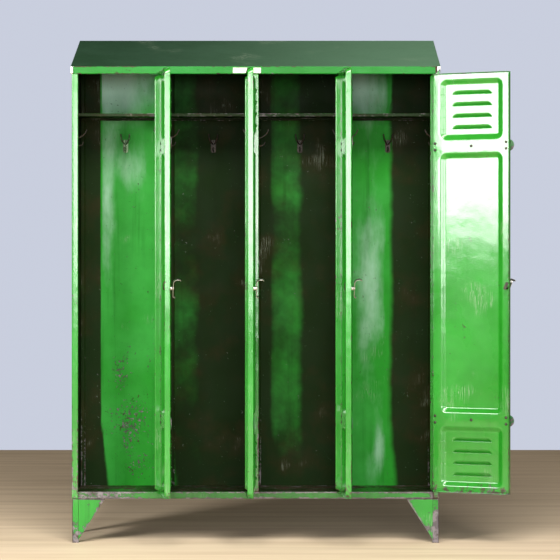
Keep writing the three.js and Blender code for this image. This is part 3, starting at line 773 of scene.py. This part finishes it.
def lintel():
    """The channel above the doors, from stile to stile."""
    reach, high, low = HALF - STILE - GAP, roof_line(0) - 1.5 * SHEET, OPENING_TOP + GAP
    line = bent([(STILE_DEPTH, high), (0.0, high), (0.0, low), (STILE_DEPTH, low)], 1.6)
    return folded(split(line, 40), lambda u, v: (-reach, reach), lengthways)


lintel().make("lintel_sheet", "cabinet", "green_enamel", BODY_PAINT, replaces=["lintel"],
              thick=SHEET)


def roof():
    """The sloping top with four turned-down lips, a shallow dent and a slight sag."""
    reach = HALF + ROOF_SIDE
    us = ticks(-reach, reach, [(reach - 30, reach, 3), (-reach, -reach + 12, 3)], 30)
    vs = ticks(-ROOF_PROUD, DEPTH, [(-ROOF_PROUD, 12, 3), (DEPTH - 12, DEPTH, 3)], 40)

    def face(u, v):
        dent = 1.2 * spot((u + 330) / 90, (v - 200) / 60)
        sag = 0.8 * math.sin((u + HALF) / (2 * HALF) * math.pi) * math.sin(v / DEPTH * math.pi)
        edge = max(0.0, 1 - min(u + reach, reach - u, v + ROOF_PROUD, DEPTH - v) / 5)
        return -(dent + sag) * (edge == 0), edge * 0.6, 0.0

    def lip(u):
        return LIP

    def front_lip(u):
        """Cut back over the last two centimetres on the right."""
        return 26.0 - 16.0 * smooth((u - (reach - 22)) / 20)

    def place(u, v, w):
        return u, v, ROOF_FRONT + (v + ROOF_PROUD) * ROOF_SLOPE - w

    return pan(us, vs, face, (lip, lip, front_lip, lip), 0.0, place)


roof_piece = roof()
# the front corners have lost their paint, and are bare steel at the ends of the lip
for i, p in enumerate(roof_piece.points):
    if p.y < 2 and (p.x > HALF - 14 or p.x < 6 - HALF):
        roof_piece.wear[i] = 1.6
roof_obj = roof_piece.make("roof_sheet", "cabinet", "roof_enamel", ROOF_PAINT, replaces=["roof"],
                           thick=SHEET)
roof_obj.data.materials.append(LIP_PAINT)
roof_obj.data.materials.append(BRIGHT)
for polygon in roof_obj.data.polygons:
    corners = [roof_obj.data.vertices[k].co for k in polygon.vertices]
    centre = sum(corners, Vector()) / len(corners)
    if centre.y < at(0, 0.9 - ROOF_PROUD, 0).y:
        bare_end = centre.x > at(HALF - 7, 0, 0).x or centre.x < at(2 - HALF, 0, 0).x
        polygon.material_index = 2 if bare_end else 1


def hat_shelf(i):
    """A shelf folded down and back at the front, darkened with dirt and painted shade, most of all
    on its lips, where painted shade stands for the shadow under the shelf.
    """
    low, high = walls(i)
    line = bent([(SHELF_FRONT + SHELF_LIP, SHELF - SHELF_LIP), (SHELF_FRONT, SHELF - SHELF_LIP),
                 (SHELF_FRONT, SHELF), (SHELF_BACK, SHELF), (SHELF_BACK, SHELF - SHELF_LIP)], 1.6)
    return folded(split(line, 40), lambda u, v: (low + GAP, high - GAP), lengthways, step=20,
                  grime_and_shade=lambda u, v, w: 0.95 if v < SHELF - 1 else 0.65)


for i in range(4):
    hat_shelf(i).make(f"hat_shelf_{i + 1}_sheet", "cabinet", "green_enamel", SHELF_PAINT,
                      replaces=[f"hat_shelf_{i + 1}"], thick=SHEET)


# -------- feet
def foot(leaves, toe_width):
    """One folded corner foot, its outer corner at the origin: a front foot has two leaves, a rear
    foot only the one along the side. A leaf is a flat strip beside the fold and, a step behind it,
    a gusset that widens upwards and is turned back along its slanting edge."""
    top, span, toe, rise = FOOT - 2 * GAP, 110.0, 22.0, 12.0
    strip, step = 20.5, 1.1
    front, rows = Piece(), []
    for z in ticks(0, top - 0.8, [(0, 16, 4), (top - 8, top - 0.8, 2)], 14):
        reach = toe + (span - toe) * max(0.0, z - rise) / (top - rise)
        marks = [0.0, 2.0, 4.0, 12.0, 19.0, 20.4, 21.2]
        marks += [marks[-1] + (reach - marks[-1]) * k / 6 for k in range(1, 7)]
        row = []
        for a in marks:
            wear = max(0.0, 1 - a / 4, 1 - z / 10, 1 - (top - z) / 5, 1 - (reach - a) / 4,
                       (1.2 - z / 110) * (a < strip), 0.55 - abs(z - 40) / 60)
            # The value 0.75 on the step from the strip to the gusset paints a dark line there:
            # painted shade in the crease.
            row.append(front.point((a, 0.0 if a < strip else step, z), min(1.1, wear),
                                   0.75 if 20 < a < 21 else 0.0))
        for inset, back, wear in ((0.0, 0.6, 0.7), (0.4, 2.0, 0.2), (0.4, 6.0, 0.2),
                                  (0.4, 11.0, 0.7)):
            row.append(front.point((reach - inset, step + back, z), wear))
        rows.append(row)
    front.sheet(rows)
    piece = Piece().add(front, SWAP_XY)
    piece.faces = [face[::-1] for face in piece.faces]
    if leaves == 2:
        piece.add(front)
    for z, outline in ((top - 1.6, [(0.5, 0.5), (span, 0.5), (toe, span), (0.5, span)]),
                       (1.6, [(0.5, 0.5), (toe_width, 0.5), (toe_width, toe), (0.5, toe)])):
        piece.faces.append([piece.point((x, y, z), 0.8) for x, y in outline])
    return piece


front_foot, rear_foot = foot(2, 22.0), foot(1, 5.0)
for name, sx, sy in (("foot_front_left", 1, 1), ("foot_front_right", -1, 1),
                     ("foot_back_left", 1, -1), ("foot_back_right", -1, -1)):
    corner = Matrix.Translation((-sx * (HALF - 2), 2.0 if sy > 0 else DEPTH - 2, 0))
    shape = Piece().add(front_foot if sy > 0 else rear_foot,
                        corner @ Matrix.Diagonal((sx, sy, 1, 1)))
    shape.make(name + "_sheet", "cabinet", "green_enamel", FOOT_PAINT, replaces=[name], thick=1.4)


# -------- hooks
def back_hook():
    """Two prongs above and one below, on a plate riveted to the back; the back is at Y 0."""
    piece = slab(rounded((-9, 9), (-26, 20), 7), -2.0, -0.2)
    prong = [(2, -1, 4), (6, -14, 8), (13, -27, 20), (16, -31, 38)]
    for hand in (-1, 1):
        piece.add(rod([(hand * x, y, z) for x, y, z in prong], 2.3))
    piece.add(rod([(0, -1, -14), (0, -14, -22), (0, -26, -20), (0, -30, -8)], 2.3))
    for z in (-20, 14):
        piece.add(rivet(3, 1.6), Matrix.Translation((0, -2, z)) @ FORWARD)
    return piece


def side_hook():
    """Two wires on a plate; the wall is at X 0."""
    plate = slab(rounded((-7, 7), (-20, 18), 5), -1.8, -0.1)
    piece = Piece().add(plate, Matrix.Rotation(math.pi / 2, 4, "Z"))
    piece.add(rod([(1, 0, 8), (16, 0, 10), (34, 0, 22), (43, 0, 38)], 1.8))
    piece.add(rod([(1, 0, -12), (14, 0, -18), (26, 0, -14), (31, 0, -5)], 1.8))
    return piece


back_hook_shape, side_hook_shape = back_hook(), side_hook()
for i in range(4):
    low, high = walls(i)
    hung = Matrix.Translation(((low + high) / 2, BACK, HOOK_Z))
    # The hook in the first compartment, where light falls, gets a lighter steel, and the other
    # three the dark one: painted light and painted shade.
    back_hook_shape.make(f"back_hook_{i + 1}_rods", "cabinet", "dark_steel",
                         LIT_HOOK_STEEL if i == 0 else DARK, hung, [f"back_hook_{i + 1}"])
    for end, x, turn in (("left", low + GAP, 0), ("right", high - GAP, math.pi)):
        hung = Matrix.Translation((x, SIDE_HOOK_Y, HOOK_Z)) @ Matrix.Rotation(turn, 4, "Z")
        side_hook_shape.make(f"side_hook_{i + 1}_{end}_wire", "cabinet", "dark_steel", DARK, hung,
                             [f"side_hook_{i + 1}_{end}"])


# -------- doors
def door():
    """The pressed door, closed, with its hinge axis at the origin and the door towards -X."""
    x0, x1 = FREE_EDGE, HINGE_EDGE
    p0, p1 = x0 + MARGIN, x1 - MARGIN
    l0, l1 = DOOR_MIDDLE - LOUVRE_HALF, DOOR_MIDDLE + LOUVRE_HALF
    # finer grid lines over the panels' rims, the louvres' ends and the slots
    us = ticks(x0, x1, [(p0, p0 + 26, 2), (p1 - 26, p1, 2), (l0 - 2, l0 + 16, 2),
                        (l1 - 16, l1 + 2, 2)], 12)
    slots, fine = [], []
    for low, high in (PANELS[0], PANELS[2]):
        slots += [(low + high) / 2 + (k - 1.5) * LOUVRE_PITCH - LOUVRE_HIGH / 2 for k in range(4)]
    for low, high in PANELS:
        fine += [(low, low + 26, 2), (high - 26, high, 2)]
    for z in slots:
        fine += [(z - 3, z - 0.02, 1.5), (z, z + LOUVRE_HIGH + 1, 1.5)]
    vs = ticks(DOOR_LOW, DOOR_HIGH, fine, 26)

    def emboss(u, v):
        """How far the raised panels stand out, with their corners rounded."""
        for low, high in PANELS:
            if low <= v <= high and p0 <= u <= p1:
                du, dv = min(u - p0, p1 - u), min(v - low, high - v)
                inside = min(du, dv)
                if du < CORNER and dv < CORNER:
                    inside = CORNER - math.hypot(CORNER - du, CORNER - dv)
                return RISE * smooth(inside / RISE_RUN)
        return 0.0

    def hood(u, v):
        """How far a louvre stands out above its slot."""
        for z in slots:
            t = (v - z) / LOUVRE_HIGH
            if 0 <= t <= 1:
                half = LOUVRE_HALF - LOUVRE_END * t * t
                return LOUVRE_RISE * (1 - smooth(t)) * smooth((half - abs(u - DOOR_MIDDLE)) / 10)
        return 0.0

    def face(u, v):
        edge = max(0.0, 1 - min(u - x0, x1 - u, v - DOOR_LOW, DOOR_HIGH - v) / 6)
        raised, lip = emboss(u, v), hood(u, v)
        crest = 0.35 if 0.85 * RISE < raised < 0.999 * RISE else 0.0
        crest = max(crest, 0.55 if lip > 0.9 * LOUVRE_RISE else 0.0)
        near_slot = abs(u - DOOR_MIDDLE) < LOUVRE_HALF and any(z - 3 <= v <= z + 15 for z in slots)
        return raised + lip, max(edge, crest), 0.35 if near_slot else 0.0

    def place(u, v, w):
        return u, AXIS_PROUD + w, v

    def is_slot(corners):
        """A face that would close the slot under a louvre's lip: it has depth but no height."""
        ys, zs = ([piece.points[k][axis] for k in corners] for axis in (1, 2))
        return (max(zs) - min(zs) < 0.05 and max(ys) - min(ys) > 0.8
                and DOOR_LOW + 5 < zs[0] < DOOR_HIGH - 5)

    piece = pan(us, vs, face, [lambda a: DOOR_DEPTH] * 4, 0.5, place)
    piece.faces = [corners for corners in piece.faces if not is_slot(corners)]
    # the paint is worn through along the bottom
    for k, p in enumerate(piece.points):
        piece.wear[k] = max(piece.wear[k], 0.95 * smooth((DOOR_LOW + 60 - p.z) / 60))
    return piece


def stop_plate(z):
    """A half-round plate riveted on the outside of the free edge."""
    centre = FREE_EDGE + 8
    outline = [(centre + 20 * math.cos(a), z + 20 * math.sin(a))
               for a in (math.pi / 2 + math.pi * k / 16 for k in range(17))]
    piece = slab(outline, AXIS_PROUD - 1.8, AXIS_PROUD - 0.3)
    for dz in (-RIVETS_APART, RIVETS_APART):
        piece.add(rivet(2.6, 1.3),
                  Matrix.Translation((centre - 5, AXIS_PROUD - 1.8, z + dz)) @ FORWARD)
    return piece


def band_rivets():
    """The rivets of each flat band: at both ends and in the middle on the inside, but only at the
    hinge and in the middle on the outside, where the stop plates have their own."""
    piece = Piece()
    inner_face = AXIS_PROUD + SHEET - 0.05
    for z in BANDS:
        for dz in (-RIVETS_APART, RIVETS_APART):
            for x in (FREE_EDGE + 16, HINGE_EDGE - 9):
                piece.add(rivet(5.0, 1.7), Matrix.Translation((x, inner_face, z + dz)) @ INWARD)
            piece.add(rivet(2.6, 1.2),
                      Matrix.Translation((HINGE_EDGE - 9, AXIS_PROUD - 1.5, z + dz)) @ FORWARD)
        piece.add(rivet(5.2, 1.3), Matrix.Translation((DOOR_MIDDLE, inner_face, z)) @ INWARD)
        piece.add(rivet(2.6, 1.2),
                  Matrix.Translation((DOOR_MIDDLE, AXIS_PROUD + 0.05, z)) @ FORWARD)
    return piece


def knuckle(low, high):
    """A hinge's barrel round its axis, with bevelled ends."""
    hub, chamfer, radius = 0.01, 2.8, 3.2
    return turned([(hub, low, 0.5), (chamfer, low, 0.9), (radius, low + 0.5, 0.9),
                   (radius, low + 2, 0.3), (radius, high - 2, 0.3), (radius, high - 0.5, 0.9),
                   (chamfer, high, 0.9), (hub, high, 0.5)], 20)


def frame_hinge():
    """The lower knuckle with its pin, and a leaf and tab along the stile's side."""
    piece = knuckle(-HINGE_HALF, -GAP)
    pin = [(1.5, -2, 0), (1.5, 24, 0), (0.9, 25, 0.5), (0, 25, 0.5)]
    piece.add(turned(pin, 12))
    for outline in (rounded((4.2, 19.6), (-HINGE_HALF, HINGE_HALF), 3),
                    [(0.3, -HINGE_HALF), (5.2, -HINGE_HALF), (5.2, -GAP), (0.3, -GAP)]):
        piece.add(slab(outline, GAP, 1.5), SWAP_XY)
    return piece


def door_hinge():
    """The upper knuckle, and a leaf and tab along the door."""
    piece = knuckle(GAP, HINGE_HALF)
    for outline in (rounded((-26, -3.9), (-HINGE_HALF, HINGE_HALF), 4),
                    [(-5, GAP), (-0.4, GAP), (-0.4, HINGE_HALF), (-5, HINGE_HALF)]):
        piece.add(slab(outline, 2.1, 3.3))
    return piece


def lever():
    """A strip of steel bent into a handle, drawn upright about its spindle."""
    line = bent([(-17.0, -33.0), (-11.0, -31.0), (-9.0, -26.0), (-9.0, 22.0), (-13.0, 29.0),
                 (-21.0, 33.0), (-31.0, 32.0), (-35.0, 28.0)], 5.0, 6)
    # the strip's section: across, through its thickness, wear
    marks, outline = [-6.5, -5.9, -4.5, 4.5, 5.9, 6.5], []
    for t, xs in ((0, marks), (2, marks[::-1])):
        outline += [(x, t if abs(x) < 6.5 else 0.5 + t / 2, 1.0 if abs(x) > 5.5 else 0.2)
                    for x in xs]
    piece, rows = Piece(), []
    for i, (u, v, _) in enumerate(line):
        before, after = line[max(i - 1, 0)], line[min(i + 1, len(line) - 1)]
        along = Vector((after[0] - before[0], after[1] - before[1])).normalized()
        rows.append([piece.point((x, u - along.y * t, v + along.x * t), wear)
                     for x, t, wear in outline])
    piece.sheet(rows, closed=True)
    piece.faces += [rows[0][::-1], rows[-1]]
    boss = turned([(6.5, 0.35, 0.4), (6.5, 7.5, 0.4), (6.0, 9, 0.9), (4.2, 9.4, 0.5),
                   (4.2, 12.2, 0.6), (3.4, 13.1, 1), (0, 13.4, 1)], 24)
    return piece.add(boss, FORWARD)


def latch_cam():
    """A rounded strip on the end of the spindle, with the spindle's axis at the origin."""
    half_turn = [math.pi * k / 10 for k in range(11)]
    outline = [(5 * math.cos(a), 17 + 5 * math.sin(a)) for a in half_turn]
    outline += [(-5 * math.cos(a), -5 * math.sin(a)) for a in half_turn]
    piece = slab(outline, 20.8, 22.8)
    spindle = turned([(0, 0, 0), (4, 0, 0), (4, 21.8, 0.2), (4, 22.5, 0.8), (3.2, 22.9, 1),
                      (0, 23, 1)], 18)
    return piece.add(spindle, INWARD)


door_shape, rivets = door(), band_rivets()
plates = [stop_plate(z) for z in BANDS]
shapes = {"frame": frame_hinge(), "door": door_hinge(), "lever": lever(), "cam": latch_cam()}
joints = {joint["child"]: joint for joint in frame["joints"]}
for n in (1, 2, 3, 4):
    body = f"door_{n}"
    swing = joints[body]
    axis = (Vector(swing["pos_m"]) - ORIGIN) * 1000
    axis.z = 0
    stand = Matrix.Translation(axis)
    hung = stand @ Matrix.Rotation(-math.radians(swing["range_deg"][0]), 4, "Z")
    door_shape.make(f"door_{n}_sheet", body, "green_enamel", DOOR_PAINT, hung, [body], thick=SHEET)
    rivets.make(f"door_{n}_rivets", body, "green_enamel", DARK, hung)
    for k, part in enumerate(plates):
        part.make(f"door_{n}_stop_{k + 1}", body, "green_enamel", PLATE, hung)
    for k, end in enumerate(("bottom", "top")):
        high = Matrix.Translation((0, 0, BANDS[k]))
        shapes["frame"].make(f"hinge_{n}_{end}_pin_half", "cabinet", "green_enamel", BODY_PAINT,
                             stand @ high, [f"hinge_{n}_{end}_frame"], bevel=0.25)
        shapes["door"].make(f"hinge_{n}_{end}_sleeve_half", body, "green_enamel", BODY_PAINT,
                            hung @ high, [f"hinge_{n}_{end}_door"], bevel=0.25)
    grip = (hung @ Matrix.Translation((LATCH_X, AXIS_PROUD, LATCH_Z))
            @ Matrix.Rotation(-LATCH_TILT, 4, "Y"))
    shapes["lever"].make(f"lever_{n}_strip", f"latch_{n}", "bright_steel", BRIGHT, grip,
                         [f"lever_{n}"])
    shapes["cam"].make(f"latch_cam_{n}_plate", f"latch_{n}", "dark_steel", DARK, grip,
                       [f"latch_cam_{n}"], bevel=0.3)

# -------- blank paper labels on the lip
for k, (low, high) in enumerate(((-77, -26), (-14, 18))):
    label, rows = Piece(), []
    for j in range(4):
        curl = [0.15 + 0.25 * abs(math.sin(i * 1.7 + j)) for i in range(9)]
        rows.append([label.point((low + (high - low) * i / 8, -ROOF_PROUD - curl[i], 1597 + 6 * j))
                     for i in range(9)])
    label.sheet(rows)
    label.make(f"label_{k + 1}", "cabinet", "green_enamel", PAPER)

# -------- floor, world and lights
ground = bpy.data.meshes.new("floor")
low, high = at(-9000, -15000, 0), at(9000, 4480, 0)
ground.from_pydata([(low.x, low.y, 0), (high.x, low.y, 0), (high.x, high.y, 0),
                    (low.x, high.y, 0)], [], [(0, 1, 2, 3)])
ground.materials.append(pale_floor())
floor = bpy.data.objects.new("floor", ground)
bpy.context.scene.collection.objects.link(floor)

# the sky lights faintly, most near the horizon; the camera sees a plain pale wall instead
world = bpy.data.worlds.new("world")
world.use_nodes = True
sky = world.node_tree
place = sky.nodes.new("ShaderNodeTexCoord")
height = sky.nodes.new("ShaderNodeSeparateXYZ")
sky.links.new(place.outputs["Generated"], height.inputs[0])
ramp = sky.nodes.new("ShaderNodeValToRGB")
low_stop, high_stop = ramp.color_ramp.elements
low_stop.position, low_stop.color = 0.16, (0.175, 0.155, 0.125, 1)
high_stop.position, high_stop.color = 0.42, (0.052, 0.045, 0.034, 1)
sky.links.new(height.outputs["Z"], ramp.inputs["Fac"])
seen = sky.nodes.new("ShaderNodeLightPath")
wall = sky.nodes.new("ShaderNodeMix")
wall.data_type = "RGBA"
sky.links.new(seen.outputs["Is Camera Ray"], wall.inputs[0])
sky.links.new(ramp.outputs["Color"], wall.inputs[6])
wall.inputs[7].default_value = (0.585, 0.62, 0.73, 1)
sky.links.new(wall.outputs[2], sky.nodes["Background"].inputs["Color"])
bpy.context.scene.world = world


def area(name, place, target, size, power, colour=(1, 1, 1)):
    """A rectangular softbox in the cabinet's frame, millimetres; size is (wide, high)."""
    data = bpy.data.lights.new(name, "AREA")
    data.shape = "RECTANGLE"
    data.size, data.size_y = size[0] / 1000, size[1] / 1000
    data.energy = power
    data.color = colour
    obj = bpy.data.objects.new(name, data)
    bpy.context.scene.collection.objects.link(obj)
    obj.location = at(*place)
    obj.rotation_euler = (at(*target) - at(*place)).to_track_quat("-Z", "Y").to_euler()


area("panel_left", (-1950, -2600, 1580), (730, -130, 1580), (900, 860), 60)
area("wall_front", (500, -8600, 1570), (500, 0, 1570), (4200, 1440), 345)
area("key_left", (-3300, -5600, 2700), (0, 0, 300), (1300, 1300), 260, (1.0, 0.97, 0.91))
area("softbox_above", (300, -4200, 4100), (200, -400, 0), (2600, 1800), 360, (1.0, 0.97, 0.92))
area("fill_behind", (1500, 4200, 2600), (0, 0, 900), (2600, 2000), 8, (1.0, 0.95, 0.86))
